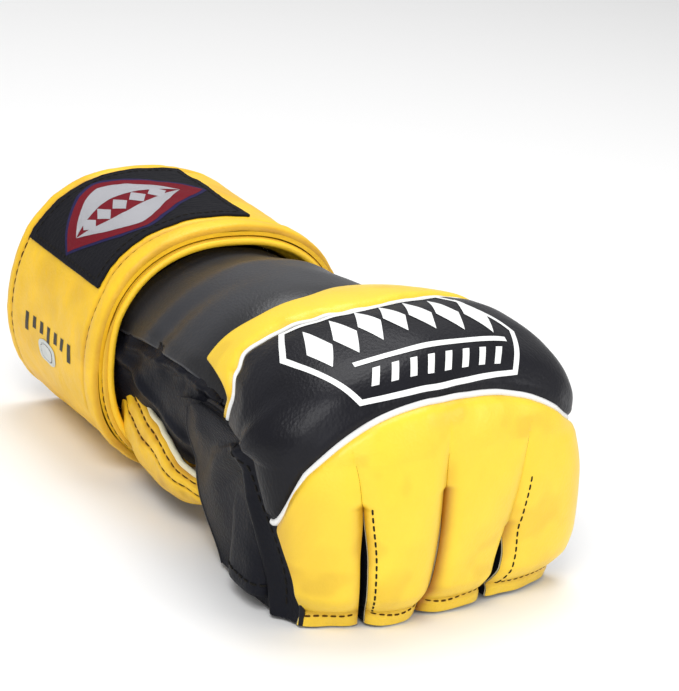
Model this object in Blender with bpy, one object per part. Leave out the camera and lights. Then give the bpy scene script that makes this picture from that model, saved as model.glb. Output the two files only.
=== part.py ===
"""Left-hand MMA glove, closed as a fist and resting palm down.

Metres, +Z up.  +X runs from the wrist to the knuckles, +Y to the little finger, and the
origin is at the middle of the footprint.  Inside the script the design is in millimetres,
with X = 0 at the edge of the wrist strap next to the hand.
"""
import math

import bmesh
import bpy
from mathutils import Vector

MM = 0.001
ORIGIN_X, ORIGIN_Y = 28.6, 0.5       # footprint middle in design millimetres
GAP = 0.3                            # clearance between touching pieces
LAYER_GAP = 0.8                      # clearance between the curved layers of the pad

# Wrist strap and cuff
STRAP_WIDTH = 66.0
WRIST_Y, WRIST_Z = -9.0, 38.0
WRIST_HALF_WIDTH, WRIST_HALF_HEIGHT = 42.6, 39.4
WRIST_SQUARENESS = 2.3
STRAP_THICKNESS = 2.6
PATCH_THICKNESS = 1.0
CUFF_THICKNESS = 2.0
STRAP_JOINTS_DEG = (240.0, 202.0, 165.0, 120.0, 75.0, 30.0)
STRAP_TIP_DEG = -32.0
ANCHOR_START_DEG = 322.0

# Padded back of the fist, as a line over the knuckles from the back edge to the finger hems
PAD_LINE = (
    (46.0, 74.5), (60.0, 77.5), (74.0, 78.0), (88.0, 77.0), (100.0, 74.5), (109.0, 70.5),
    (116.0, 64.0), (120.5, 55.0), (122.5, 44.0), (123.0, 30.0), (122.0, 15.0), (119.5, 0.3),
)
PAD_MIDDLE_Y = -2.0
PAD_THICKNESS = 17.0
PAD_BACK_EDGE = 7.0
LEATHER = 1.2
PIPING_STATION = 1.3                 # stations count the points of PAD_LINE
WEDGE_STATION = 2.6
FRONT_STATION = 6.0
FINGER_STATION = 8.0
HEM_STATION = 11.0

# Knuckle hinge, finger hinges and finger columns
KNUCKLE_X, KNUCKLE_Z = 92.0, 46.0
FINGER_HINGE_Z = 44.0
FINGER_GAP = 1.0
FINGERS = ("index", "middle", "ring", "little")
FINGER_SIDES = (None, -25.5, -2.0, 21.0, None)
LOOP_BOTTOM, LOOP_TOP = 5.0, 38.0
LOOP_WALL = 1.6
LOOP_DEPTH = 21.5

# Hand sleeve between the strap and the knuckles: X, middle Y, middle Z, half width, half height
SLEEVE = (
    (-1.5, -9.0, 38.0, 32.4, 28.4),
    (20.0, -6.5, 40.5, 38.5, 32.0),
    (44.0, -3.0, 42.5, 43.0, 30.5),
    (80.0, -2.0, 42.0, 44.0, 21.0),
)
SLEEVE_WALL = 1.3
PALM_HOLE_X, PALM_HOLE_Y = 36.0, 9.5
PALM_HOLE_HALF_LENGTH, PALM_HOLE_HALF_WIDTH = 26.0, 16.5
THUMB_BAND_WIDTH = 10.0
THUMB_BAND_START = 6.6               # X where the band comes out from under the strap
PALM_END = 67.0


# ---------------------------------------------------------------- helpers

def clean_scene():
    for item in list(bpy.data.objects):
        bpy.data.objects.remove(item, do_unlink=True)


def new_collection(name):
    group = bpy.data.collections.new(name)
    bpy.context.scene.collection.children.link(group)
    return group


def material(name, color, roughness, metallic=0.0):
    found = bpy.data.materials.get(name)
    if found:
        return found
    made = bpy.data.materials.new(name)
    made.use_nodes = True
    shader = made.node_tree.nodes["Principled BSDF"]
    shader.inputs["Base Color"].default_value = (*color, 1.0)
    shader.inputs["Roughness"].default_value = roughness
    shader.inputs["Metallic"].default_value = metallic
    made.diffuse_color = (*color, 1.0)
    return made


def yellow_leather():
    return material("yellow_leather", (0.88, 0.55, 0.035), 0.42)


def black_leather():
    return material("black_leather", (0.012, 0.012, 0.015), 0.38)


def white_piping():
    return material("white_piping", (0.80, 0.80, 0.78), 0.45)


def foam():
    return material("foam", (0.10, 0.10, 0.11), 0.9)


def lining():
    return material("lining", (0.03, 0.03, 0.035), 0.85)


def hook_and_loop():
    return material("hook_and_loop", (0.02, 0.02, 0.022), 0.9)


def woven_label():
    return material("woven_label", (0.02, 0.02, 0.03), 0.7)


def silver_foil():
    return material("silver_foil", (0.6, 0.6, 0.62), 0.3, 1.0)


def blend(low, high, amount):
    return low + (high - low) * amount


def smooth(low, high, value):
    """0 below low, 1 above high, and an S curve between."""
    share = min(1.0, max(0.0, (value - low) / (high - low)))
    return share * share * (3.0 - 2.0 * share)


def curve_point(points, station):
    """Point on a smooth curve through all the points; one station for each of them."""
    last = len(points) - 1
    index = min(last - 1, max(0, int(station)))
    share = station - index
    before = points[max(0, index - 1)]
    start, end = points[index], points[index + 1]
    after = points[min(last, index + 2)]
    values = []
    for a, b, c, d in zip(before, start, end, after):
        values.append(0.5 * (2 * b + (c - a) * share + (2 * a - 5 * b + 4 * c - d) * share ** 2
                             + (3 * b - a - 3 * c + d) * share ** 3))
    return values


def placed(x, y, z):
    return Vector(((x - ORIGIN_X) * MM, (y - ORIGIN_Y) * MM, z * MM))


def slab(name, outer, inner, rows, columns, skin, closed=False):
    """Solid between two surfaces, each a function of two shares from 0 to 1."""
    mesh = bpy.data.meshes.new(name)
    shape = bmesh.new()
    around = columns if closed else columns + 1
    layers = []
    for surface in (outer, inner):
        grid = []
        for row in range(rows + 1):
            line = [shape.verts.new(placed(*surface(row / rows, column / columns)))
                    for column in range(around)]
            grid.append(line)
        layers.append(grid)
    for grid, flip in ((layers[0], False), (layers[1], True)):
        for row in range(rows):
            for column in range(columns):
                beside = (column + 1) % around
                corners = [grid[row][column], grid[row][beside],
                           grid[row + 1][beside], grid[row + 1][column]]
                shape.faces.new(corners[::-1] if flip else corners)
    edge = [(row, 0) for row in range(rows + 1)]
    rims = []
    if not closed:
        rims += [edge, [(row, columns) for row in range(rows + 1)]]
    ends = [column % around for column in range(columns + 1)]
    rims += [[(0, column) for column in ends], [(rows, column) for column in ends]]
    for rim in rims:
        for (row_a, col_a), (row_b, col_b) in zip(rim, rim[1:]):
            shape.faces.new((layers[0][row_a][col_a], layers[0][row_b][col_b],
                             layers[1][row_b][col_b], layers[1][row_a][col_a]))
    bmesh.ops.recalc_face_normals(shape, faces=shape.faces[:])
    shape.to_mesh(mesh)
    shape.free()
    mesh.materials.append(skin)
    mesh.shade_smooth()
    mesh.set_sharp_from_angle(angle=math.radians(35))
    made = bpy.data.objects.new(name, mesh)
    parts.objects.link(made)
    return made


def hold(piece, parent):
    """Parents a piece and keeps it where it is."""
    piece.parent = parent
    piece.matrix_parent_inverse = parent.matrix_world.inverted()


def pivot(name, x, y, z, parent=None):
    empty = bpy.data.objects.new(name, None)
    empty.empty_display_size = 0.01
    empty.location = placed(x, y, z)
    parts.objects.link(empty)
    bpy.context.view_layer.update()
    if parent:
        hold(empty, parent)
        bpy.context.view_layer.update()
    return empty


# ---------------------------------------------------------------- wrist

def wrist_point(angle_deg, x, depth):
    """Point on the wrist's oval, depth millimetres in from the strap's outer face."""
    angle = math.radians(angle_deg)
    power = 2.0 / WRIST_SQUARENESS
    side = math.copysign(abs(math.cos(angle)) ** power, math.cos(angle))
    rise = math.copysign(abs(math.sin(angle)) ** power, math.sin(angle))
    y = WRIST_Y + (WRIST_HALF_WIDTH - depth) * side
    z = WRIST_Z + (WRIST_HALF_HEIGHT - depth) * rise
    return x, y, max(z, depth)


def wrist_band(name, start, end, x_low, x_high, near, far, columns, skin, lean=0.0):
    """Strip round the wrist between two angles; lean shifts its far end along X."""
    full = abs(end - start) >= 360.0

    def surface(depth):
        def at(row, column):
            x = blend(x_low, x_high, row) + lean * column
            return wrist_point(blend(start, end, column), x, depth)
        return at

    return slab(name, surface(near), surface(far), 1, columns, skin, closed=full)


def patch_depths():
    hook_near = STRAP_THICKNESS + GAP
    loop_near = hook_near + PATCH_THICKNESS + GAP
    turn_near = loop_near + PATCH_THICKNESS + GAP
    return hook_near, loop_near, turn_near


def build_wrist(hand):
    hook_near, loop_near, turn_near = patch_depths()
    cuff_near = turn_near + STRAP_THICKNESS + LAYER_GAP
    lining_near = cuff_near + CUFF_THICKNESS + GAP
    made = [
        wrist_band("wrist_cuff", 0, 360, -60, -2, cuff_near, cuff_near + CUFF_THICKNESS,
                   36, black_leather()),
        wrist_band("cuff_lining", 0, 360, -59, -2.5, lining_near, lining_near + 1.0,
                   36, lining()),
        wrist_band("strap_inner_turn", 308, -20, -60, 3.2, turn_near, turn_near + STRAP_THICKNESS,
                   30, yellow_leather(), lean=1.2),
        wrist_band("strap_anchor", ANCHOR_START_DEG, STRAP_JOINTS_DEG[0] + 0.6, -STRAP_WIDTH, 0,
                   0, STRAP_THICKNESS, 9, yellow_leather()),
        wrist_band("loop_patch", 26, -18, -58, -8, loop_near, loop_near + PATCH_THICKNESS,
                   5, hook_and_loop()),
    ]
    for piece in made:
        hold(piece, hand)


def build_strap(hand):
    hook_near = patch_depths()[0]
    parent = hand
    ends = STRAP_JOINTS_DEG[1:] + (STRAP_TIP_DEG,)
    for number, (start, end) in enumerate(zip(STRAP_JOINTS_DEG, ends), 1):
        x, y, z = wrist_point(start, -STRAP_WIDTH / 2, 0)
        joint = pivot("strap_joint_%d" % number, x, y, z, parent)
        pieces = [wrist_band("strap_segment_%d" % number, start - 0.6, end + 0.6,
                             -STRAP_WIDTH, 0, 0, STRAP_THICKNESS, 5, yellow_leather())]
        if number in (3, 4):
            name = "label_patch_side" if number == 3 else "label_patch_back"
            pieces.append(wrist_band(name, start - 1.5, end + 1.5, -58, -9,
                                     -GAP - 0.8, -GAP, 5, woven_label()))
        if number == 2:
            pieces.append(wrist_band("sticker", 197, 187, -41, -29, -GAP - 0.4, -GAP,
                                     2, silver_foil()))
        if number == len(ends):
            pieces.append(wrist_band("hook_patch", start - 4, end + 4, -58, -8,
                                     hook_near, hook_near + PATCH_THICKNESS, 5,
                                     hook_and_loop()))
        for piece in pieces:
            hold(piece, joint)
        parent = joint


# ---------------------------------------------------------------- padded back

def pad_sizes(station, side):
    """Half width and edge drop of the pad on the index side (-1) or the little side (1)."""
    to_knuckles = smooth(0.0, 5.0, station)
    to_hem = smooth(6.0, HEM_STATION, station)
    if side < 0:
        width = blend(46.0, 52.0, to_knuckles) - 9.0 * to_hem
        drop = blend(30.0, 26.0, to_knuckles) - 7.0 * to_hem
    else:
        width = blend(49.0, 53.0, to_knuckles) + 4.0 * smooth(7.0, 9.3, station)
        width -= 3.0 * smooth(9.8, HEM_STATION, station)
        drop = 24.0 - 5.0 * to_hem
    return width, drop


def pad_point(station, across, depth):
    """Point of the pad: across runs from -1 (index side) to 1 (little side).

    Depth runs towards the bones: straight down behind the knuckle axis, straight back
    below it, and towards the axis itself between the two.
    """
    x, z = curve_point(PAD_LINE, station)
    to_bones = Vector((min(0.0, KNUCKLE_X - x), min(0.0, KNUCKLE_Z - z))).normalized()
    width, drop = pad_sizes(station, across)
    power = 2.1 if across < 0 else 2.6
    fall = 1.0 - max(0.0, 1.0 - abs(across) ** power) ** (1.0 / power)
    inward = depth + (drop - depth) * fall
    x += to_bones.x * inward
    z += to_bones.y * inward
    reach = blend(1.03, 0.905, smooth(-0.6, 0.7, across))
    x = PAD_LINE[0][0] + (x - PAD_LINE[0][0]) * reach
    y = PAD_MIDDLE_Y + (width - depth) * across
    return x, y, z


def across_at(station, side_y, depth, edge):
    if side_y is None:
        return edge
    width = pad_sizes(station, side_y - PAD_MIDDLE_Y)[0]
    return (side_y - PAD_MIDDLE_Y) / (width - depth)


def foam_depth(station):
    return blend(PAD_BACK_EDGE, PAD_THICKNESS, smooth(0.0, 1.6, station))


def pad_layer(name, start, end, near, far, rows, columns, skin, low=None, high=None):
    """Layer of the pad between two stations, two depths and two Y planes.

    start, end and far may each be a function: of across for the first two, of the
    station for far.
    """
    def surface(depth):
        def at(row, column):
            spread = math.sin(blend(-0.5, 0.5, column) * math.pi)
            first = start(spread) if callable(start) else start
            last = end(spread) if callable(end) else end
            station = blend(first, last, row)
            own_depth = depth(station) if callable(depth) else depth
            left = math.asin(max(-1.0, across_at(station, low, own_depth, -1.0)))
            right = math.asin(min(1.0, across_at(station, high, own_depth, 1.0)))
            return pad_point(station, math.sin(blend(left, right, column)), own_depth)
        return at

    return slab(name, surface(near), surface(far), rows, columns, skin)


def front_seam(across):
    """Station of the seam between the black and the yellow leather."""
    return FRONT_STATION + 1.6 * smooth(-0.35, -1.0, across)


def build_pad(hand, knuckles):
    lining_near = PAD_THICKNESS + LAYER_GAP
    under = LEATHER + LAYER_GAP
    on_hand = [
        pad_layer("rear_panel", 0.02, PIPING_STATION - 0.08, 0, LEATHER, 2, 14,
                  yellow_leather()),
        pad_layer("rear_piping", PIPING_STATION - 0.05, PIPING_STATION + 0.10, -0.5, LEATHER,
                  1, 14, white_piping()),
        pad_layer("knuckle_panel_rear", PIPING_STATION + 0.13, WEDGE_STATION, 0, LEATHER,
                  2, 14, black_leather()),
        pad_layer("back_foam", 0.02, WEDGE_STATION, under, foam_depth, 4, 14, foam()),
        pad_layer("hand_lining", 0.02, WEDGE_STATION,
                  lambda station: foam_depth(station) + LAYER_GAP,
                  lambda station: foam_depth(station) + LAYER_GAP + 1.0, 4, 14, lining()),
        pad_layer("knuckle_panel", WEDGE_STATION + 0.05, lambda across: front_seam(across) - 0.1,
                  0, LEATHER, 5, 14, black_leather()),
        pad_layer("centre_foam", WEDGE_STATION + 0.05, FRONT_STATION - 0.1, under,
                  PAD_THICKNESS, 4, 14, foam()),
    ]
    for piece in on_hand:
        hold(piece, hand)
    lower = FINGER_STATION - 0.09
    on_knuckles = [
        pad_layer("front_piping", lambda across: front_seam(across) - 0.07,
                  lambda across: front_seam(across) + 0.10, -0.5, LEATHER, 1, 14,
                  white_piping()),
        pad_layer("front_panel", lambda across: front_seam(across) + 0.13, lower, 0, LEATHER,
                  2, 14, yellow_leather()),
        pad_layer("knuckle_foam", FRONT_STATION + 0.1, lower, under, PAD_THICKNESS, 2, 14,
                  foam()),
        pad_layer("knuckle_lining", FRONT_STATION + 0.1, lower, lining_near, lining_near + 1.0,
                  2, 14, lining()),
    ]
    for piece in on_knuckles:
        hold(piece, knuckles)


def finger_column(number):
    """Y limits of one finger's pieces, with half the gap taken off each inner side."""
    low, high = FINGER_SIDES[number], FINGER_SIDES[number + 1]
    low = None if low is None else low + FINGER_GAP / 2
    high = None if high is None else high - FINGER_GAP / 2
    return low, high


def loop_middle(number):
    """Y middle, half width and front X of one finger's loop."""
    low, high = finger_column(number)
    high = low + 22.0 if high is None else high
    low = high - 22.0 if low is None else low
    middle = (low + high) / 2
    across = across_at(10.0, middle, PAD_THICKNESS, 0.0)
    front = pad_point(10.0, across, PAD_THICKNESS + 1.0 + LAYER_GAP)[0] - 2.5
    return middle, (high - low) / 2, front


def finger_loop(number):
    """Oval sleeve for one finger, open at both ends."""
    middle, half_width, front = loop_middle(number)

    def surface(inset):
        def at(row, column):
            angle = column * math.tau
            side = math.copysign(abs(math.cos(angle)) ** 0.6, math.cos(angle))
            fore = math.copysign(abs(math.sin(angle)) ** 0.6, math.sin(angle))
            x = front - LOOP_DEPTH / 2 + (LOOP_DEPTH / 2 - inset) * fore
            return x, middle + (half_width - inset) * side, blend(LOOP_BOTTOM, LOOP_TOP, row)
        return at

    return slab(FINGERS[number] + "_loop", surface(0), surface(LOOP_WALL), 1, 20,
                black_leather(), closed=True)


def build_finger(number, knuckles):
    name = FINGERS[number]
    low, high = finger_column(number)
    lining_near = PAD_THICKNESS + LAYER_GAP
    top = FINGER_STATION + 0.09
    middle = loop_middle(number)[0]
    across = across_at(FINGER_STATION, middle, 0.0, 0.0)
    x, y, z = pad_point(FINGER_STATION, across, PAD_THICKNESS / 2)
    joint = pivot(name + "_joint", x, y, FINGER_HINGE_Z, knuckles)
    pieces = [
        pad_layer(name + "_cover", top, HEM_STATION, 0, LEATHER, 4, 6, yellow_leather(),
                  low, high),
        pad_layer(name + "_foam", top, HEM_STATION - 0.1, LEATHER + LAYER_GAP, PAD_THICKNESS,
                  4, 6, foam(), low, high),
        pad_layer(name + "_lining", top, HEM_STATION - 0.1, lining_near, lining_near + 1.0,
                  4, 6, lining(), low, high),
        finger_loop(number),
    ]
    for piece in pieces:
        hold(piece, joint)


# ---------------------------------------------------------------- hand sleeve

def sleeve_sizes(x):
    for before, after in zip(SLEEVE, SLEEVE[1:]):
        if x <= after[0]:
            break
    share = smooth(before[0], after[0], x)
    return [blend(a, b, share) for a, b in zip(before[1:], after[1:])]


def sleeve_point(x, angle_deg, depth):
    middle_y, middle_z, half_width, half_height = sleeve_sizes(x)
    angle = math.radians(angle_deg)
    y = middle_y + (half_width - depth) * math.cos(angle)
    z = middle_z + (half_height - depth) * math.sin(angle)
    return x, y, z


def sleeve_panel(name, x_low, x_high, low_angle, high_angle, rows, columns, skin,
                 near=0.0, far=SLEEVE_WALL):
    """Panel of the sleeve; its angle limits may change along X."""
    def surface(depth):
        def at(row, column):
            x = blend(x_low, x_high, row)
            first = low_angle(x) if callable(low_angle) else low_angle
            last = high_angle(x) if callable(high_angle) else high_angle
            return sleeve_point(x, blend(first, last, column), depth)
        return at

    return slab(name, surface(near), surface(far), rows, columns, skin)


def thumb_band(row, column, depth):
    """U-shaped band round the thumb hole; row runs along it and column across it."""
    turn = math.pi * smooth(0.30, 0.70, row)
    straight = 38.0
    if row < 0.30:
        x = blend(THUMB_BAND_START, straight, row / 0.30)
    elif row > 0.70:
        x = blend(straight, THUMB_BAND_START, (row - 0.70) / 0.30)
    else:
        x = straight
    half_length, half_angle = 10.0, 23.5
    width = blend(-0.5, 0.5, column) * THUMB_BAND_WIDTH
    x += (half_length + width) * math.sin(turn)
    tilt = 8.0 * (1.0 - x / straight) if row < 0.5 else 0.0
    angle = 231.5 - (half_angle + width * 1.6) * math.cos(turn) - max(0.0, tilt)
    return sleeve_point(x, angle, depth)


def palm_panel():
    def low_angle(x):
        return blend(258.0, 221.0, smooth(44.0, 58.0, x))

    panel = sleeve_panel("palm_panel", -1.5, PALM_END, low_angle, 322, 12, 12,
                         black_leather())
    bpy.ops.mesh.primitive_cylinder_add(vertices=40, radius=1.0, depth=0.06,
                                        location=placed(PALM_HOLE_X, PALM_HOLE_Y, 20.0))
    cutter = bpy.context.object
    cutter.name = "palm_hole_cutter"
    cutter.scale = (PALM_HOLE_HALF_LENGTH * MM, PALM_HOLE_HALF_WIDTH * MM, 1.0)
    for group in list(cutter.users_collection):
        group.objects.unlink(cutter)
    cutters.objects.link(cutter)
    cutter.hide_render = True
    cutter.display_type = "WIRE"
    cut = panel.modifiers.new("palm_hole", "BOOLEAN")
    cut.object = cutter
    cut.operation = "DIFFERENCE"
    cut.solver = "EXACT"
    return panel


def palm_binding():
    """Rolled edge just inside the palm hole."""
    bead = 1.5
    count = 40
    line = bpy.data.curves.new("palm_opening_binding", "CURVE")
    line.dimensions = "3D"
    line.bevel_depth = bead * MM
    line.bevel_resolution = 2
    run = line.splines.new("POLY")
    run.points.add(count - 1)
    run.use_cyclic_u = True
    for number, point in enumerate(run.points):
        turn = math.tau * number / count
        x = PALM_HOLE_X + (PALM_HOLE_HALF_LENGTH - bead - 2 * GAP) * math.cos(turn)
        y = PALM_HOLE_Y + (PALM_HOLE_HALF_WIDTH - bead - 2 * GAP) * math.sin(turn)
        middle_y, middle_z, half_width, half_height = sleeve_sizes(x)
        share = (y - middle_y) / (half_width - SLEEVE_WALL / 2)
        z = middle_z - (half_height - SLEEVE_WALL / 2) * math.sqrt(1 - share ** 2)
        point.co = (*placed(x, y, z), 1.0)
    line.materials.append(black_leather())
    made = bpy.data.objects.new("palm_opening_binding", line)
    parts.objects.link(made)
    return made


def palm_fold():
    """Leather that runs up from the palm panel to the backs of the finger loops."""
    start, top = PALM_END + 0.6, 40.0
    middle_y, middle_z, half_width, half_height = sleeve_sizes(start)

    def surface(depth):
        def at(row, column):
            y = blend(-34.0, 31.0, column)
            end = blend(79.0, 69.5, smooth(-14.0, 14.0, y))
            rise = math.sqrt(1.0 - ((y - middle_y) / half_width) ** 2)
            bottom = middle_z - half_height * rise
            turn = row * math.pi / 2
            x = blend(start, end, math.sin(turn)) - depth * row
            return x, y, blend(bottom, top, 1.0 - math.cos(turn)) + depth * (1.0 - row)
        return at

    return slab("palm_fold", surface(0), surface(1.2), 4, 8, black_leather())


def build_sleeve(hand):
    def thumb_top(x):
        return blend(162.0, 176.0, smooth(26.0, 43.0, x))

    def thumb_bottom(x):
        return blend(201.0, 211.0, smooth(0.0, 40.0, x)) + 8.0 * smooth(44.0, 58.0, x)

    made = [
        sleeve_panel("back_hand_panel", -1.5, 44.5, 18, 160, 6, 14, black_leather()),
        sleeve_panel("thumb_side_gusset", -1.5, 74, thumb_top, thumb_bottom, 14, 4,
                     black_leather()),
        sleeve_panel("little_side_gusset", -1.5, 70, 324, 375.5, 10, 4, black_leather()),
        slab("thumb_binding", lambda row, column: thumb_band(row, column, -GAP - 1.6),
             lambda row, column: thumb_band(row, column, -GAP), 28, 3, yellow_leather()),
        palm_panel(),
        palm_binding(),
        palm_fold(),
    ]
    for piece in made:
        hold(piece, hand)


# ---------------------------------------------------------------- whole glove

clean_scene()
parts = new_collection("mma_glove")
cutters = new_collection("cutters")


def main():
    hand = pivot("hand_frame", ORIGIN_X, ORIGIN_Y, 0.0)
    knuckles = pivot("knuckle_joint", KNUCKLE_X, PAD_MIDDLE_Y, KNUCKLE_Z, hand)
    build_wrist(hand)
    build_strap(hand)
    build_sleeve(hand)
    build_pad(hand, knuckles)
    for number in range(len(FINGERS)):
        build_finger(number, knuckles)


main()
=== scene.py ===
import math

import bpy
import numpy as np
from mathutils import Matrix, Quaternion, Vector

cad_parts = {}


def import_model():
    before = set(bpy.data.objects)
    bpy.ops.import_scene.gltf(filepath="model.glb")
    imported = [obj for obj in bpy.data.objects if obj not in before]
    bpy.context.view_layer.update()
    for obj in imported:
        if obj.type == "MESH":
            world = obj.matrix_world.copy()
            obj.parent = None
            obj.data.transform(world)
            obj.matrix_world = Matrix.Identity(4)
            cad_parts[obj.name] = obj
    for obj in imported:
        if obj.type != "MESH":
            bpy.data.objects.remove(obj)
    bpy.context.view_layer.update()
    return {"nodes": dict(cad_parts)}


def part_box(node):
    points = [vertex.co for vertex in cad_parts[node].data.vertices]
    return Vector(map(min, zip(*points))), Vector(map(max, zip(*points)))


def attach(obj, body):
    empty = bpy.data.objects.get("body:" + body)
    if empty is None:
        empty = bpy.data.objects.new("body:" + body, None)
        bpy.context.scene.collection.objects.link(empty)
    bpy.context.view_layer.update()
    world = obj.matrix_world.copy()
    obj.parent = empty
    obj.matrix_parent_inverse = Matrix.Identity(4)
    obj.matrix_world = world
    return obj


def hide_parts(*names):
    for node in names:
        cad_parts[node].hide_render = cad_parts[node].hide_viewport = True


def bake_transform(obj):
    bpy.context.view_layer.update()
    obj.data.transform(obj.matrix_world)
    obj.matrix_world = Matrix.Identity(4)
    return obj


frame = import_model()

# Everything is worked out in design millimetres, as in the CAD: X = 0 at the strap's edge next
# to the hand, Y to the little finger, Z up.  `world` turns them into metres in the CAD frame.
MM = 0.001
WRIST_Y, WRIST_Z = -9.0, 38.0
WRIST_HALF_WIDTH, WRIST_HALF_HEIGHT = 42.6, 39.4
WRIST_SQUARENESS = 2.3
STRAP_WIDTH, STRAP_THICKNESS = 66.0, 2.6
STRAP_JOINTS = (240.0, 202.0, 165.0, 120.0, 75.0, 30.0)
STRAP_TIP, STRAP_START = -32.0, 322.0
FRONT_SEAM, REAR_SEAM = 8.0, 4.5     # from the strap's long edges to their stitch rows
INNER_SEAM = 1.9                     # the same on the inner turn
PATCH_THICKNESS = 1.0

PAD_LINE = np.array((
    (46.0, 74.5), (60.0, 77.5), (74.0, 78.0), (88.0, 77.0), (100.0, 74.5), (109.0, 70.5),
    (116.0, 64.0), (120.5, 55.0), (122.5, 44.0), (123.0, 30.0), (122.0, 15.0), (119.5, 0.6),
))
PAD_MIDDLE_Y = -2.0
PAD_THICKNESS = 17.0
KNUCKLE_X, KNUCKLE_Z = 92.0, 46.0
LOBE_TOP, HEM = 7.4, 11.0            # stations, which count the points of PAD_LINE
HEM_SEAM = 4.6                       # from the hem to its row of stitches
FINGERS = ("index", "middle", "ring", "little")
SLIT_TOPS = (8.45, 8.3, 9.35)
SLIT_TOP_Y = (-32.0, -2.5, 27.5)
SLIT_HEM_Y = (-24.0, -3.0, 21.0)
SLIT_OPENING = (2.3, 0.7, 3.2)
CREASE_DEPTHS, CREASE_SHADES = (0.9, 1.8, 1.5), (0.55, 1.0, 0.6)
LOOP_BOTTOM, LOOP_TOP_Z, LOOP_WALL, LOOP_DEPTH = 5.0, 38.0, 1.6, 21.5

SLEEVE = np.array((
    (-1.5, -9.0, 38.0, 32.4, 28.4),
    (20.0, -6.5, 40.5, 38.5, 32.0),
    (44.0, -3.0, 42.5, 43.0, 30.5),
    (80.0, -2.0, 42.0, 44.0, 21.0),
))
PALM_HOLE = (36.0, 9.5, 26.0, 16.5)  # X, Y, half length, half width
PALM_END = 67.0

anchor_box, cuff_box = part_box("strap_anchor"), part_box("wrist_cuff")
ORIGIN = np.array((-anchor_box[1].x / MM,
                   WRIST_Y - (cuff_box[0].y + cuff_box[1].y) / 2 / MM, 0.0))


def world(points):
    return (np.asarray(points, float) - ORIGIN) * MM


FINE_STITCH = dict(pitch=2.4, length=1.5, width=0.28)


# ---------------------------------------------------------------- small maths

def smooth(low, high, value):
    share = np.clip((np.asarray(value, float) - low) / (high - low), 0.0, 1.0)
    return share * share * (3.0 - 2.0 * share)


def mix(low, high, share):
    return low + (high - low) * share


def bell(distance, width):
    return np.exp(-(distance / width) ** 2)


def roll(distance, radius):
    """Depth of a rounded edge at a distance from it."""
    share = np.clip(distance / radius, 0.0, 1.0)
    return radius * (1.0 - np.sqrt(np.clip(1.0 - (1.0 - share) ** 2, 0.0, 1.0)))


NOISE_SIZE = 64
NOISE = np.random.RandomState(11).rand(NOISE_SIZE, NOISE_SIZE) * 2.0 - 1.0


def noise(u, v):
    """Smooth noise from -1 to 1, one bump per unit."""
    column, row = np.floor(u).astype(int), np.floor(v).astype(int)
    a, b = u - column, v - row
    a, b = a * a * (3 - 2 * a), b * b * (3 - 2 * b)
    left, right = column % NOISE_SIZE, (column + 1) % NOISE_SIZE
    low, high = row % NOISE_SIZE, (row + 1) % NOISE_SIZE
    bottom = mix(NOISE[left, low], NOISE[right, low], a)
    top = mix(NOISE[left, high], NOISE[right, high], a)
    return mix(bottom, top, b)


def lumps(u, v, size):
    return noise(u / size, v / size) + 0.5 * noise(u / size * 2.1 + 7.3, v / size * 2.1 + 3.1)


def spaced(start, end, step, ends=()):
    """Even samples with extra ones close to both ends."""
    count = max(2, int(math.ceil(abs(end - start) / step)))
    near = [start + (end - start) * e / abs(end - start) for e in ends]
    far = [end - (end - start) * e / abs(end - start) for e in ends]
    return np.array(sorted({*np.linspace(start, end, count + 1).round(6), *near, *far},
                           reverse=bool(end < start)))


# ---------------------------------------------------------------- surfaces

def matched(*values):
    """The values as arrays of one shape."""
    return np.broadcast_arrays(*(np.asarray(value, float) for value in values))


def curve(points, at):
    """Point on a smooth curve through all the points; `at` counts them from 0."""
    last = len(points) - 1
    index = np.clip(np.floor(at).astype(int), 0, last - 1)
    s = (at - index)[..., None]
    a, b = points[np.maximum(index - 1, 0)], points[index]
    c, d = points[index + 1], points[np.minimum(index + 2, last)]
    return 0.5 * (2 * b + (c - a) * s + (2 * a - 5 * b + 4 * c - d) * s ** 2
                  + (3 * b - a - 3 * c + d) * s ** 3)


def unit(vectors):
    return vectors / np.maximum(np.linalg.norm(vectors, axis=-1, keepdims=True), 1e-12)


def squarish(turn, power):
    """The two coordinates of a ring; power below 1 makes it squarer than a circle."""
    side, rise = np.cos(turn), np.sin(turn)
    return np.sign(side) * np.abs(side) ** power, np.sign(rise) * np.abs(rise) ** power


def distances(path):
    """Distance along a path of points, from its first one."""
    return np.concatenate(([0.0], np.cumsum(np.linalg.norm(np.diff(path, axis=0), axis=-1))))


STATIONS = np.linspace(0.0, HEM, 441)
RUN = distances(curve(PAD_LINE, STATIONS))


def run_at(station):
    """Distance along the pad's line, from its back edge."""
    return np.interp(station, STATIONS, RUN)


def station_at(run):
    return np.interp(run, RUN, STATIONS)


def pad_width(station, side):
    knuckles, hem = smooth(0.0, 5.0, station), smooth(6.0, HEM, station)
    index_width = 46.0 + 6.0 * knuckles - 9.0 * hem
    little_width = (49.0 + 4.0 * knuckles + 4.0 * smooth(7.0, 9.3, station)
                    - 3.0 * smooth(9.8, HEM, station))
    return np.where(side < 0, index_width, little_width)


def pad_drop(station, side):
    knuckles, hem = smooth(0.0, 5.0, station), smooth(6.0, HEM, station)
    return np.where(side < 0, 30.0 - 4.0 * knuckles - 7.0 * hem, 24.0 - 5.0 * hem)


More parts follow.
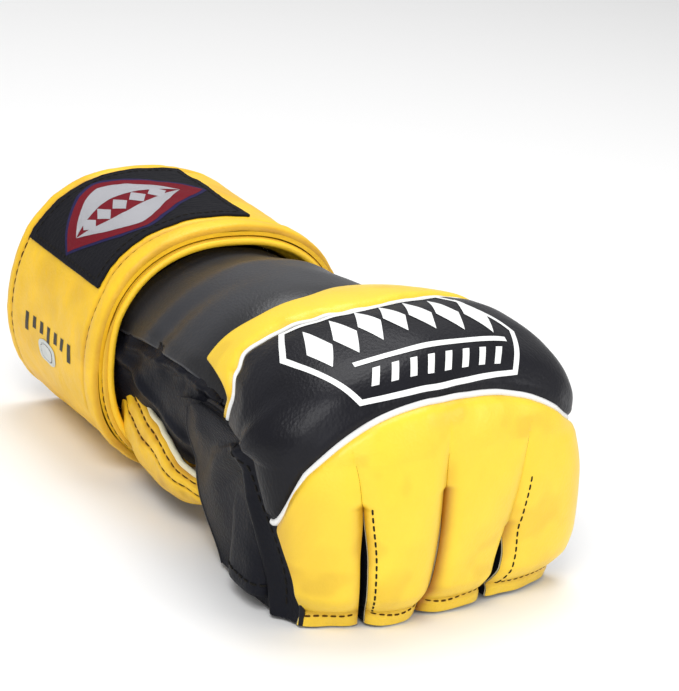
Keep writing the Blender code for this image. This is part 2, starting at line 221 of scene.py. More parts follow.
def pad(station, across, depth):
    """Point of the pad; across is -1 on the index side, depth runs towards the bones."""
    station, across, depth = matched(station, across, depth)
    line = curve(PAD_LINE, station)
    x, z = line[..., 0], line[..., 1]
    back, down = np.minimum(0.0, KNUCKLE_X - x), np.minimum(0.0, KNUCKLE_Z - z)
    length = np.hypot(back, down)
    power = np.where(across < 0, 2.1, 2.6)
    inside = np.clip(1.0 - np.abs(across) ** power, 0.0, 1.0)
    fall = 1.0 - inside ** (1.0 / power)
    inward = depth + (pad_drop(station, across) - depth) * fall
    x = x + back / length * inward
    z = z + down / length * inward
    reach = mix(1.03, 0.905, smooth(-0.6, 0.7, across))
    x = PAD_LINE[0, 0] + (x - PAD_LINE[0, 0]) * reach
    y = PAD_MIDDLE_Y + (pad_width(station, across) - depth) * across
    return np.stack([x, y, z], -1)


def wrist(angle, x, depth):
    angle, x, depth = matched(angle, x, depth)
    side, rise = squarish(np.radians(angle), 2.0 / WRIST_SQUARENESS)
    y = WRIST_Y + (WRIST_HALF_WIDTH - depth) * side
    z = WRIST_Z + (WRIST_HALF_HEIGHT - depth) * rise
    return np.stack([x, y, np.maximum(z, depth)], -1)


def sleeve_sizes(x):
    sizes = [np.full_like(x, value) for value in SLEEVE[0, 1:]]
    for before, after in zip(SLEEVE, SLEEVE[1:]):
        share = smooth(before[0], after[0], x)
        sizes = [np.where(x > before[0], mix(low, high, share), size)
                 for low, high, size in zip(before[1:], after[1:], sizes)]
    return sizes


def sleeve(x, angle, depth):
    x, angle, depth = matched(x, angle, depth)
    middle_y, middle_z, half_width, half_height = sleeve_sizes(x)
    turn = np.radians(angle)
    return np.stack([x, middle_y + (half_width - depth) * np.cos(turn),
                     middle_z + (half_height - depth) * np.sin(turn)], -1)


# ---------------------------------------------------------------- materials

class Paint:
    """A material under construction; nodes are added with their input values."""

    def __init__(self, name):
        self.material = bpy.data.materials.new(name)
        self.material.use_nodes = True
        self.tree = self.material.node_tree
        self.shader = self.tree.nodes["Principled BSDF"]
        self.place = self.add("UVMap").outputs["UV"]

    def add(self, kind, values=(), **settings):
        made = self.tree.nodes.new("ShaderNode" + kind)
        for name, value in settings.items():
            setattr(made, name, value)
        for name, value in dict(values).items():
            made.inputs[name].default_value = value
        return made

    def texture(self, kind, values, **settings):
        made = self.add(kind, values, **settings)
        self.link(self.place, made.inputs["Vector"])
        return made

    def link(self, output, socket):
        self.tree.links.new(output, socket)

    def to_shader(self, output, name):
        self.link(output, self.shader.inputs[name])

    def roughness(self, source, low, high):
        gloss = self.add("MapRange", {"To Min": low, "To Max": high})
        self.link(source, gloss.inputs["Value"])
        self.to_shader(gloss.outputs["Result"], "Roughness")

    def bump(self, height, strength, distance):
        bump = self.add("Bump", {"Strength": strength, "Distance": distance})
        self.link(height, bump.inputs["Height"])
        self.to_shader(bump.outputs["Normal"], "Normal")

    def uniform(self, **values):
        for name, value in values.items():
            self.shader.inputs[name.replace("_", " ")].default_value = value


def leather(name, color, shaded_color, roughness, grain, coat=0.0, spread=0.12,
            gloss_level=0.35):
    """Grained leather: colour varies softly and goes towards the second, darker colour where the
    shade attribute is high: painted shade in seams and creases, plus random tone.
    """
    paint = Paint(name)
    cells = paint.texture("TexVoronoi", {"Scale": 0.95, "Randomness": 0.9})
    fine = paint.texture("TexNoise", {"Scale": 1.7, "Detail": 3.0}).outputs["Fac"]
    broad = paint.texture("TexNoise", {"Scale": 0.055, "Detail": 3.0}).outputs["Fac"]
    shade = paint.add("Attribute", attribute_name="shade")

    tone = paint.add("MapRange", {"From Min": 0.3, "From Max": 0.7, "To Min": 1.0 - spread,
                                  "To Max": 1.0 + spread})
    paint.link(broad, tone.inputs["Value"])
    # Painted shade: the base colour mixes towards the darker second colour by the shade
    # attribute.
    base = paint.add("Mix", data_type="RGBA")
    base.inputs["A"].default_value = (*color, 1.0)
    base.inputs["B"].default_value = (*shaded_color, 1.0)
    paint.link(shade.outputs["Fac"], base.inputs["Factor"])
    varied = paint.add("VectorMath", operation="SCALE")
    paint.link(base.outputs["Result"], varied.inputs["Vector"])
    paint.link(tone.outputs["Result"], varied.inputs["Scale"])
    paint.to_shader(varied.outputs["Vector"], "Base Color")

    rise = paint.add("Math", {1: 0.55}, operation="MULTIPLY_ADD")
    paint.link(fine, rise.inputs[0])
    paint.link(cells.outputs["Distance"], rise.inputs[2])
    paint.roughness(fine, roughness - 0.07, roughness + 0.09)
    paint.bump(rise.outputs["Value"], grain, 0.00022)
    paint.uniform(Coat_Weight=coat, Coat_Roughness=0.28, Specular_IOR_Level=gloss_level)
    return paint.material


def fabric(name, color, roughness, pitch, depth):
    """Woven or knitted cloth: two crossed waves make the threads."""
    paint = Paint(name)
    warp, weft = (paint.texture("TexWave", {"Scale": pitch, "Distortion": 0.6, "Detail": 1.0},
                                bands_direction=direction).outputs["Fac"]
                  for direction in ("X", "Y"))
    both = paint.add("Math", operation="MULTIPLY")
    paint.link(warp, both.inputs[0])
    paint.link(weft, both.inputs[1])
    height = both.outputs["Value"]
    # Painted shade: the cloth's colour darkens in the hollows between threads.
    tone = paint.add("Mix", data_type="RGBA")
    tone.inputs["A"].default_value = (*(channel * 0.6 for channel in color), 1.0)
    tone.inputs["B"].default_value = (*color, 1.0)
    paint.link(height, tone.inputs["Factor"])
    paint.to_shader(tone.outputs["Result"], "Base Color")
    paint.roughness(height, roughness + 0.1, roughness - 0.05)
    paint.bump(height, depth, 0.0002)
    paint.uniform(Specular_IOR_Level=0.12)
    return paint.material


# The second colour given to each leather is its painted shade.
yellow = leather("yellow_leather_look", (0.91, 0.625, 0.040), (0.42, 0.16, 0.008), 0.40, 0.32,
                 coat=0.12, spread=0.05)
strap_yellow = leather("strap_leather_look", (0.90, 0.55, 0.022), (0.38, 0.13, 0.006), 0.46,
                       0.42, coat=0.06, spread=0.07)
black = leather("black_leather_look", (0.0085, 0.0085, 0.012), (0.003, 0.003, 0.004), 0.36,
                0.40, coat=0.05, spread=0.2, gloss_level=0.16)
soft_black = leather("soft_black_leather_look", (0.0075, 0.008, 0.012), (0.003, 0.003, 0.004),
                     0.46, 0.5, spread=0.25, gloss_level=0.11)
# Painted sheen: black leather with its base colour raised, standing in for the broad grey
# highlight over the back of the hand; its coat and gloss give real reflection.
painted_sheen_black = leather("back_leather_painted_sheen_look", (0.026, 0.027, 0.032), (0.005, 0.005, 0.007), 0.42,
                     0.35, coat=0.22, spread=0.12, gloss_level=0.4)
white = leather("piping_look", (0.82, 0.82, 0.80), (0.5, 0.45, 0.35), 0.42, 0.12, spread=0.03)
ink = leather("print_look", (0.86, 0.87, 0.86), (0.7, 0.7, 0.68), 0.38, 0.25, spread=0.03)
raw_edge = leather("raw_edge_look", (0.80, 0.74, 0.52), (0.5, 0.4, 0.2), 0.85, 0.5)
thread = fabric("brown_thread_look", (0.13, 0.055, 0.008), 0.6, 3.0, 0.5)
dark_thread = fabric("dark_thread_look", (0.02, 0.018, 0.015), 0.6, 3.0, 0.5)
liner = fabric("lining_look", (0.022, 0.022, 0.027), 0.75, 0.9, 0.5)
label_cloth = fabric("label_cloth_look", (0.014, 0.014, 0.019), 0.62, 1.3, 0.6)
label_red = fabric("label_red_look", (0.26, 0.012, 0.025), 0.6, 1.3, 0.6)
label_white = fabric("label_white_look", (0.62, 0.62, 0.66), 0.6, 1.3, 0.6)
label_blue = fabric("label_blue_look", (0.03, 0.025, 0.11), 0.6, 1.3, 0.6)
hook_cloth = fabric("hook_and_loop_look", (0.02, 0.02, 0.024), 0.85, 0.5, 1.0)
foil = leather("foil_look", (0.55, 0.58, 0.56), (0.3, 0.3, 0.3), 0.3, 0.15, coat=0.4)
stamp = leather("stamp_look", (0.03, 0.022, 0.012), (0.02, 0.015, 0.01), 0.5, 0.4)


# ---------------------------------------------------------------- mesh building

EPS = 1e-4


def at_depth(surface, depth):
    return lambda u, v: surface(u, v, depth)


def four_sides(u, v):
    """The four sides of a grid over u and v."""
    return (u, v[0]), (u, v[-1]), (u[0], v), (u[-1], v)


def quads(rows, columns):
    number = np.arange(rows * columns).reshape(rows, columns)
    return np.stack([number[:-1, :-1], number[1:, :-1], number[1:, 1:], number[:-1, 1:]],
                    -1).reshape(-1, 4)


def path_on(surface, u, v):
    """Points of surface(u, v) and the direction of its natural normal at each."""
    u, v = matched(u, v)
    along = surface(u + EPS, v) - surface(u - EPS, v)
    beside = surface(u, v + EPS) - surface(u, v - EPS)
    return surface(u, v), unit(np.cross(along, beside))


class Piece:
    """Quads gathered into one mesh object, in design millimetres."""

    def __init__(self, name, *materials):
        self.name = name
        self.materials = list(materials)
        self.points, self.normals, self.places, self.shades = [], [], [], []
        self.faces, self.slots = [], []
        self.count = 0

    def slot_of(self, material):
        if material not in self.materials:
            self.materials.append(material)
        return self.materials.index(material)

    def add(self, points, normals, places, shades, faces, material):
        self.points.append(points)
        self.normals.append(normals)
        self.places.append(places)
        self.shades.append(shades)
        self.faces.append(faces + self.count)
        self.slots.append(np.full(len(faces), self.slot_of(material)))
        self.count += len(points)

    def grid(self, surface, u, v, material, flip=False, shade=None):
        """Adds surface(u, v) over the two lists of values."""
        uu, vv = np.meshgrid(u, v, indexing="ij")
        points, normals = path_on(surface, uu, vv)
        normals = -normals if flip else normals
        rows, columns = uu.shape
        down, side = distances(points[:, columns // 2]), distances(points[rows // 2])
        places = np.stack(np.meshgrid(down, side, indexing="ij"), -1)
        shades = np.zeros(uu.shape) if shade is None else np.clip(shade(uu, vv), 0, 1)
        faces = quads(rows, columns)
        facing = np.cross(points[1:, :-1] - points[:-1, :-1], points[:-1, 1:] - points[:-1, :-1])
        faces = faces[:, ::-1] if np.sum(facing * normals[:-1, :-1]) < 0 else faces
        self.add(points.reshape(-1, 3), normals.reshape(-1, 3), places.reshape(-1, 2),
                 shades.ravel(), faces, material)

    def tube(self, path, radius, material, sides=8, flat=1.0, ups=(0.0, 0.0, 1.0)):
        """A cord along a path of points; flat squeezes it along the ups."""
        forward = unit(np.vstack([path[1:], path[-1:]]) - np.vstack([path[:1], path[:-1]]))
        side = unit(np.cross(forward, ups))
        up = np.cross(side, forward)
        turn = np.arange(sides + 1) / sides * math.tau
        ring = (np.cos(turn)[None, :, None] * side[:, None]
                + np.sin(turn)[None, :, None] * up[:, None] * flat)
        points = path[:, None] + ring * radius
        rows, columns = points.shape[:2]
        places = np.stack(np.meshgrid(distances(points[:, 0]), turn * radius, indexing="ij"),
                          -1)
        self.add(points.reshape(-1, 3), unit(ring).reshape(-1, 3), places.reshape(-1, 2),
                 np.zeros(rows * columns), quads(rows, columns), material)

    def stitches(self, path, ups, material, pitch=3.0, length=2.0, width=0.34):
        """A row of thread stitches lying along a path."""
        distance = distances(path)
        for start in np.arange(pitch * 0.3, distance[-1] - length, pitch):
            at = start + length * np.array((0.0, 0.22, 0.5, 0.78, 1.0))
            line = np.stack([np.interp(at, distance, path[:, k]) for k in range(3)], -1)
            up = np.stack([np.interp(at, distance, ups[:, k]) for k in range(3)], -1)
            up = unit(up)
            lift = np.array((-0.35, 0.12, 0.25, 0.12, -0.35))[:, None]
            self.tube(line + up * lift * width, width, material, sides=6, flat=0.75, ups=up)

    def sew(self, surface, u, v, material, turned=False, **size):
        """Stitches along a line on surface(u, v); turned where its normal points in."""
        path, ups = path_on(surface, u, v)
        self.stitches(path, -ups if turned else ups, material, **size)

    def finish(self, slot):
        """Makes the object, at its place in the CAD frame."""
        points = world(np.concatenate(self.points))
        faces = np.concatenate(self.faces)
        mesh = bpy.data.meshes.new(self.name)
        mesh.vertices.add(len(points))
        mesh.vertices.foreach_set("co", points.ravel())
        mesh.loops.add(faces.size)
        mesh.loops.foreach_set("vertex_index", faces.ravel().astype(np.int32))
        mesh.polygons.add(len(faces))
        mesh.polygons.foreach_set("loop_start", np.arange(0, faces.size, 4, dtype=np.int32))
        mesh.polygons.foreach_set("material_index",
                                  np.concatenate(self.slots).astype(np.int32))
        for material in self.materials:
            mesh.materials.append(material)
        layer = mesh.uv_layers.new(name="UVMap")
        places = np.concatenate(self.places)[faces.ravel()]
        layer.data.foreach_set("uv", places.ravel().astype(np.float32))
        shades = mesh.attributes.new("shade", "FLOAT", "POINT")
        shades.data.foreach_set("value", np.concatenate(self.shades).astype(np.float32))
        mesh.update(calc_edges=True)
        mesh.shade_smooth()
        mesh.normals_split_custom_set_from_vertices(np.concatenate(self.normals))
        made = bpy.data.objects.new(self.name, mesh)
        bpy.context.scene.collection.objects.link(made)
        return made


# ---------------------------------------------------------------- padded back


def bend_pad(piece):
    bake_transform(piece)


def rear_edge(across):
    return (0.02 + 0.60 * smooth(0.15, -0.35, across) - 0.16 * smooth(-0.6, -0.84, across)
            + 1.5 * smooth(-0.925, -0.99, across))


def rear_seam(across):
    return (1.68 + 0.35 * bell(across + 0.12, 0.42) - 0.18 * smooth(0.3, 0.8, across)
            + 0.20 * smooth(-0.84, -0.92, across) + 0.42 * smooth(-0.92, -0.985, across))


def front_seam(across):
    return 5.88 + np.where(across < 0, 3.17 * np.abs(across) ** 3.2, 1.45 * np.abs(across) ** 3)


def lobe_start(across):
    return np.maximum(LOBE_TOP, front_seam(across))


def slit_y(number, station):
    share = (station - LOBE_TOP) / (HEM - LOBE_TOP)
    return mix(SLIT_TOP_Y[number], SLIT_HEM_Y[number], share)


def slit_depth(number, station):
    """How far in the crease or slit between two finger lobes goes."""
    top = SLIT_TOPS[number]
    crease = CREASE_DEPTHS[number] * smooth(front_seam(0.0) + 0.5, top - 0.2, station)
    return crease + 11.0 * smooth(top - 0.15, top + 0.35, station)


def crease_relief(station, y):
    """The soft folds over the front of the pad where the finger slits start."""
    sunk = 0.0
    for number in range(3):
        distance = np.abs(y - slit_y(number, station))
        depth = np.minimum(slit_depth(number, station), 3.4)
        sunk = sunk + depth * roll(distance, 6.0) / 6.0
    return sunk


def pad_relief(station, across):
    """Depth of the leather under the pad's plain form, in millimetres."""
    y = PAD_MIDDLE_Y + pad_width(station, across) * across
    run = run_at(station)
    to_rear, to_front = (run - run_at(seam(across)) for seam in (rear_seam, front_seam))
    sunk = 1.5 * bell(to_rear, 2.0) + 1.6 * bell(to_front, 2.1)
    puckers = noise(y / 5.5 + 3.7, run / 26.0) * bell(to_front, 9.0)
    puckers += 0.8 * noise(y / 4.5 + 9.2, run / 26.0) * bell(to_rear, 6.0)
    sunk = sunk + 0.45 * puckers
    sunk = sunk - 0.7 * lumps(run, y, 24.0) * smooth(0.0, 8.0, run)
    sunk = sunk - 1.0 * smooth(1.5, 12.0, to_rear) * smooth(1.5, 14.0, -to_front)
    sunk = sunk + crease_relief(station, y)
    sunk = sunk + roll(run - run_at(rear_edge(across)), 5.0)
    hem_distance = RUN[-1] - run
    hem_flap = 2.3 * smooth(11.0, 4.5, hem_distance) + 0.8 * bell(hem_distance - HEM_SEAM, 1.0)
    ruffle = 1.5 * noise(y / 7.5 + 1.3, run / 30.0) * smooth(9.0, 0.0, hem_distance)
    return sunk + hem_flap + ruffle


def pad_shade(station, across):
    """Painted shade where the leather is darker: in the seam valleys, beside the slits' creases
    and in the hem's stitch valley; also random tone, and darker over the index lobe and along
    both long edges.
    """
    y = PAD_MIDDLE_Y + pad_width(station, across) * across
    run = run_at(station)
    dark = 0.35 * bell(run - run_at(front_seam(across)), 1.6)
    dark += 0.35 * bell(run - run_at(rear_seam(across)), 1.6)
    for number, strength in enumerate(CREASE_SHADES):
        distance = y - slit_y(number, station)
        deep = smooth(0.8, 3.5, slit_depth(number, station))
        dark += strength * deep * bell(distance, 1.4 + 0.8 * strength)
    dark += 0.30 * bell(RUN[-1] - run - HEM_SEAM, 1.3) * (station > LOBE_TOP)
    dark += 0.16 * smooth(0.15, 0.9, lumps(run + 40.0, y, 9.0))
    dark += 0.18 * smooth(-24.0, -46.0, y) * smooth(7.4, 8.6, station)
    dark += 0.25 * smooth(0.90, 1.0, np.abs(across))
    return dark


def skin(station, across, lift=0.0):
    return pad(station, across, pad_relief(station, across) - lift)


ACROSS = np.sin(spaced(-math.pi / 2, math.pi / 2, 0.014, (0.004,)))


def between(first, last, lift=0.0):
    """Surface of the pad from one seam to another; the first share runs between them."""
    def surface(share, across):
        return skin(mix(first(across), last(across), share), across, lift)
    return surface


def shade_between(first, last):
    return lambda share, across: pad_shade(mix(first(across), last(across), share), across)


def rear_wall(share, across):
    """The padding's back edge, under the rear panel."""
    return pad(rear_edge(across) - 0.02 * share, across, mix(5.0, 9.5, share))


def pad_panel(name, first, last, across, material, slot, rows, nodes):
    piece = Piece(name, material)
    piece.grid(between(first, last), np.linspace(0.0, 1.0, rows), across, material,
               shade=shade_between(first, last))
    if first is rear_edge:
        piece.grid(rear_wall, np.linspace(0, 1, 3), across, soft_black, flip=True)
    made = piece.finish(slot)
    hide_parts(*nodes)
    bend_pad(made)


def build_pad_lining():
    """Lining inside the pad and the black leather along its two long edges."""
    piece = Piece("pad_lining", liner)

    def thickness(station):
        return np.minimum(PAD_THICKNESS, 8.0 + 7.0 * station)

    def lining(station, across):
        return pad(station, across, thickness(station))

    piece.grid(lining, np.linspace(0.0, LOBE_TOP, 50), ACROSS[::3], liner, flip=True)
    for side in (-1.0, 1.0):
        def under(station, share, side=side):
            point = pad(station, side, thickness(station) * share)
            point[..., 2] -= 1.6 * np.sin(math.pi * share)
            return point
        piece.grid(under, np.linspace(0.0, LOBE_TOP, 60), np.linspace(0, 1, 8), soft_black,
                   flip=side < 0)
    made = piece.finish("lining")
    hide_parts("hand_lining", "knuckle_lining")
    bend_pad(made)


def build_piping(name, seam, node):
    """White cord along a seam of the pad."""
    piece = Piece(name, white)
    path, ups = path_on(lambda a, s: skin(seam(a) + s, a, -0.15), ACROSS, 0.0)
    piece.tube(path, 1.05, white, sides=10, flat=0.9, ups=ups)
    made = piece.finish("white_piping")
    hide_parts(node)
    bend_pad(made)


def build_pad():
    pad_panel("rear_panel_skin", rear_edge, rear_seam, ACROSS, yellow, "yellow_leather", 40,
              ("rear_panel", "back_foam"))
    pad_panel("knuckle_panel_skin", rear_seam, front_seam, ACROSS, black, "black_leather",
              130, ("knuckle_panel_rear", "knuckle_panel", "centre_foam"))
    pad_panel("front_panel_skin", front_seam, lobe_start, ACROSS[ACROSS > -0.80], yellow,
              "yellow_leather", 44, ("front_panel", "knuckle_foam"))
    build_pad_lining()
    build_piping("rear_piping_cord", rear_seam, "rear_piping")
    build_piping("front_piping_cord", front_seam, "front_piping")


# ---------------------------------------------------------------- pad print

def plate_corners():
    """The printed plate's outline in stations and shares across."""
    return ((1.98, -0.66), (2.95, -0.76), (5.62, -0.52), (5.60, 0.02), (5.50, 0.52),
            (3.7, 0.64), (1.90, 0.40), (2.24, -0.16))


def print_patch(piece, corners, steps=(10, 10)):
    """A filled four-cornered patch printed on the pad; corners in stations and across."""
    corners = np.asarray(corners, float)

    def surface(u, v):
        low = mix(corners[0], corners[1], u[..., None])
        high = mix(corners[3], corners[2], u[..., None])
        at = mix(low, high, v[..., None])
        return skin(at[..., 0], at[..., 1], 0.14)

    piece.grid(surface, np.linspace(0, 1, steps[0]), np.linspace(0, 1, steps[1]), ink,
               flip=is_turned(corners))


def is_turned(corners):
    """True where the corners run the other way round."""
    x, y = corners[:, 0], corners[:, 1]
    return np.sum(x * np.roll(y, -1) - np.roll(x, -1) * y) < 0


HALF_PAD = 51.0                      # millimetres that 1 across stands for in the print


def to_flat(corner):
    """Stations and across to millimetres on the pad, roughly."""
    station, across = corner
    return np.array((float(run_at(station)), across * HALF_PAD))


def from_flat(point):
    return np.array((float(station_at(point[0])), point[1] / HALF_PAD))


def print_line(piece, corners, width):
    """A closed printed outline of even width, with mitred corners."""
    flat = np.array([to_flat(corner) for corner in corners])
    middle = flat.mean(0)
    inner = []
    for number, corner in enumerate(flat):
        before = corner - flat[number - 1]
        after = flat[(number + 1) % len(flat)] - corner
        sides = []
        for way in (before, after):
            side = np.array((-way[1], way[0])) / np.linalg.norm(way)
            sides.append(side if side @ (middle - corner) > 0 else -side)
        bisector = sides[0] + sides[1]
        bisector /= bisector @ bisector / 2.0
        inner.append(corner + bisector * width)
    for number in range(len(flat)):
        after = (number + 1) % len(flat)
        print_patch(piece, [from_flat(p) for p in (flat[number], flat[after],
                                                   inner[after], inner[number])], (26, 4))


def build_print():
    """A generic plate of outlined lozenges, in place of any lettering."""
    piece = Piece("pad_print", ink)
    print_line(piece, plate_corners(), 1.7)
    for share in np.linspace(0, 1, 7):
        across = mix(-0.56, 0.46, share)
        middle = mix(3.20, 3.10, share) - 0.22 * math.sin(math.pi * share)
        half, reach = 0.62 + 0.22 * abs(share - 0.45) * 2.0, 0.074
        outline = ((middle - half, across), (middle, across + reach), (middle + half, across),
                   (middle, across - reach))
        print_patch(piece, outline, (14, 14))
    low, high = 4.10, 4.28
    steps = np.linspace(-0.46, 0.52, 7)
    for a, b in zip(steps, steps[1:]):
        print_patch(piece, ((low, a), (high, a), (high, b), (low, b)), (4, 12))
    low, high, half, lean = 4.50, 5.10, 0.022, 0.025
    for across in np.linspace(-0.38, 0.42, 8):
        print_patch(piece, ((low, across - half + lean), (high, across - half - lean),
                            (high, across + half - lean), (low, across + half + lean)),
                    (12, 5))
    bend_pad(piece.finish("white_piping"))


# ---------------------------------------------------------------- finger lobes

def lobe_side(number, station, side):
    """Y of one side of a finger lobe."""
    border = number if side > 0 else number - 1
    if border < 0:
        across = -1.0 + 0.10 * smooth(8.5, HEM, station)
        return PAD_MIDDLE_Y + pad_width(station, across) * across
    if border > 2:
        return PAD_MIDDLE_Y + pad_width(station, 1.0) * 0.998
    top = SLIT_TOPS[border]
    opening = SLIT_OPENING[border] * smooth(top, mix(top, HEM, 0.45), station) + 0.06
    return slit_y(border, station) - side * opening / 2.0


def lobe_point(number, share, column):
    """Top surface of a lobe: share runs down it, column from -1 to 1 across it."""
    share, column = np.asarray(share, float), np.asarray(column, float)
    guess = mix(LOBE_TOP, HEM, share)
    for _ in range(3):
        left, right = (lobe_side(number, guess, side) for side in (-1, 1))
        y = mix(left, right, (column + 1) / 2)
        across = np.clip((y - PAD_MIDDLE_Y) / pad_width(guess, y - PAD_MIDDLE_Y), -1.0, 1.0)
        hem = HEM + 0.10 * noise(y / 9.0 + 4.4, np.full_like(y, 2.5)) - 0.05
        guess = mix(lobe_start(across), hem, share)
    station = guess
    puff = 1.5 * smooth(LOBE_TOP, 8.7, station) * smooth(HEM, 10.4, station)
    lift = puff * np.clip(1.0 - np.abs(column) ** 2.4, 0.0, 1.0)
    return station, across, skin(station, across, lift)


def lobe_wall(number, share, depth, side):
    """Side wall of a lobe, down into the slit; depth runs from 0 to 1."""
    column = np.full_like(share, float(side))
    station, across, top = lobe_point(number, share, column)
    border = number if side > 0 else number - 1
    deep = 12.0 if not 0 <= border <= 2 else np.clip(slit_depth(border, station) - 3.4, 0, 11)
    inner = pad(station, across, pad_relief(station, across) + 0.2 + deep * depth)
    inner[..., 1] = top[..., 1] + (inner[..., 1] - top[..., 1]) * 0.15
    return inner


def lobe_columns():
    half = np.sin(np.linspace(0, math.pi / 2, 30))
    return np.unique(np.concatenate([-half, half]).round(5))


def build_lobe(number):
    finger = FINGERS[number]
    piece = Piece(finger + "_lobe", yellow)
    shares, columns = np.linspace(0, 1, 90), lobe_columns()

    def top(share, column):
        return lobe_point(number, share, column)[2]

    def shade(share, column):
        station, across, _ = lobe_point(number, share, column)
        return pad_shade(station, across)

    piece.grid(top, shares, columns, yellow, shade=shade)
    for side in (-1, 1):
        def wall(share, depth, side=side):
            return lobe_wall(number, share, depth, side)
        piece.grid(wall, shares, np.array((0.0, 0.06)), raw_edge, flip=side < 0)
        piece.grid(wall, shares, np.linspace(0.06, 1.0, 8), soft_black, flip=side < 0)

    def hem_face(share, column):
        station, across, edge = lobe_point(number, np.ones_like(column), column * 0.985)
        deep = mix(pad_relief(station, across), PAD_THICKNESS, share)
        inner = pad(station, across, deep)
        inner[..., 1] = mix(edge[..., 1], inner[..., 1], 0.3)
        inner[..., 2] = edge[..., 2] + 0.8 * np.sin(math.pi * np.clip(share, 0, 1)) + 0.1
        return inner

    piece.grid(hem_face, np.array((0.0, 0.07)), columns, raw_edge)
    piece.grid(hem_face, np.linspace(0.07, 1.0, 8), columns, soft_black)

    def back(share, column):
        station, across, edge = lobe_point(number, share, column * 0.985)
        inner = pad(station, across, PAD_THICKNESS)
        inner[..., 1] = mix(edge[..., 1], inner[..., 1], 0.3)
        return inner

    piece.grid(back, np.linspace(0, 1, 24), columns[::4], liner, flip=True)
    add_lobe_stitches(piece, number, top)
    made = piece.finish("yellow_leather")
    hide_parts(*(finger + part for part in ("_cover", "_foam", "_lining")))
    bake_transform(made)


def add_lobe_stitches(piece, number, top):
    """A row along the hem and, on two of the lobes, one beside the slit."""
    hem_share = 1.0 - HEM_SEAM / (RUN[-1] - run_at(LOBE_TOP))
    piece.sew(top, hem_share, np.linspace(-0.90, 0.90, 50), thread, **FINE_STITCH)
    if number in (1, 3):
        slit = (SLIT_TOPS[number - 1] - LOBE_TOP) / (HEM - LOBE_TOP)
        start = max(0.05, slit - (0.28 if number == 3 else 0.02))
        piece.sew(top, np.linspace(start, hem_share, 80), -0.80, dark_thread, **FINE_STITCH)


def loop_middle(number):
    low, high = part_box(FINGERS[number] + "_loop")
    low, high = (np.array(corner) / MM + ORIGIN for corner in (low, high))
    return (low[1] + high[1]) / 2, (high[1] - low[1]) / 2, high[0]


def build_loop(number):
    """Black leather tube for one finger, with a rolled rim and a seam."""
    finger = FINGERS[number]
    middle, half_width, front = loop_middle(number)
    piece = Piece(finger + "_loop_skin", soft_black)

    def tube(depth):
        def surface(share, turn):
            side, fore = squarish(turn, 0.6)
            height = mix(LOOP_BOTTOM, LOOP_TOP_Z, share)
            waist = 0.5 * lumps(turn * 9.0, height + number * 13.0, 8.0)
            inset = depth + waist + roll(height - LOOP_BOTTOM, 0.8)
            x = front - LOOP_DEPTH / 2 + (LOOP_DEPTH / 2 - inset) * fore
            y = middle + (half_width - inset) * side
            return np.stack([x, y, height], -1)
        return surface

    turns = np.linspace(0.01, math.tau + 0.01, 73)
    heights = spaced(0.0, 1.0, 0.05, (0.006, 0.015))
    piece.grid(tube(0.0), heights, turns, soft_black)
    piece.grid(tube(LOOP_WALL), heights, turns, liner, flip=True)
    for share in (0.0, 1.0):
        path = tube(0.7)(np.full_like(turns, share), turns)
        piece.tube(path, 0.75, soft_black)
    piece.sew(tube(-0.1), 0.11, turns, dark_thread)
    made = piece.finish("black_leather")
    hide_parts(finger + "_loop")
    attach(made, finger + "_finger")


# ---------------------------------------------------------------- side walls

WALL_THICKNESS = 1.3


def add_wall(piece, surface, material, outward, grids, rolled, shade=None):
    """Both faces of a wall and its rolled edges."""
    def inside(u, v):
        return surface(u, v) - outward * WALL_THICKNESS

    turned = outward[1] < 0
    (rows, columns), (back_rows, back_columns) = grids
    piece.grid(surface, np.linspace(0, 1, rows), np.linspace(0, 1, columns), material,
               shade=shade, flip=turned)
    piece.grid(inside, np.linspace(0, 1, back_rows), np.linspace(0, 1, back_columns), liner,
               flip=not turned)
    line = np.linspace(0, 1, 80)
    for share in rolled:
        path = surface(line, np.full_like(line, share)) - outward * 0.6
        piece.tube(path, 0.9, black, ups=outward)


def bend_wall(piece):
    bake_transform(piece.finish("black_leather"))


def build_index_wall():
    """Black leather between the pad's index edge, the finger loop and the thumb hole."""
    piece = Piece("index_side_wall", soft_black)

    def surface(u, v):
        station = mix(1.1, HEM - 0.05, u)
        rim = pad(station, -1.0 + 0.10 * smooth(8.5, HEM, station), 1.2)
        rim[..., 1] += 0.9
        inside = np.clip(u, 0.0, 1.0)
        root = np.stack([50.0 + 6.0 * inside + 16.0 * smooth(0.45, 1.15, inside),
                         -46.5 + 3.6 * smooth(0.1, 0.45, u) + 1.4 * smooth(0.6, 1.0, u),
                         mix(42.0, 2.0, u)], -1)
        point = rim + (root - rim) * v[..., None]
        belly = np.sin(math.pi * np.clip(v, 0, 1))
        folds = 0.9 * np.sin(u * 13.0 + 1.5 * np.sin(v * 5.0)) + 0.8 * lumps(
            u * 60.0, v * 26.0, 13.0)
        ridge = 2.4 * bell(v - 0.16 - 0.06 * np.sin(u * 9.0), 0.055) * smooth(0.25, 0.5, u)
        point[..., 1] -= belly * (2.6 * (1.0 - 0.4 * v) + 0.8 * folds) + ridge
        return point

    # Painted shade in a band just under the ridge fold.
    def shade(u, v):
        return 0.7 * bell(v - 0.26, 0.06) * smooth(0.25, 0.5, u)

    add_wall(piece, surface, soft_black, np.array((0.0, -1.0, 0.0)),
             ((150, 60), (60, 24)), (0.0, 1.0), shade)
    piece.sew(surface, np.linspace(0.30, 0.97, 60), 0.115, dark_thread, turned=True)
    bend_wall(piece)


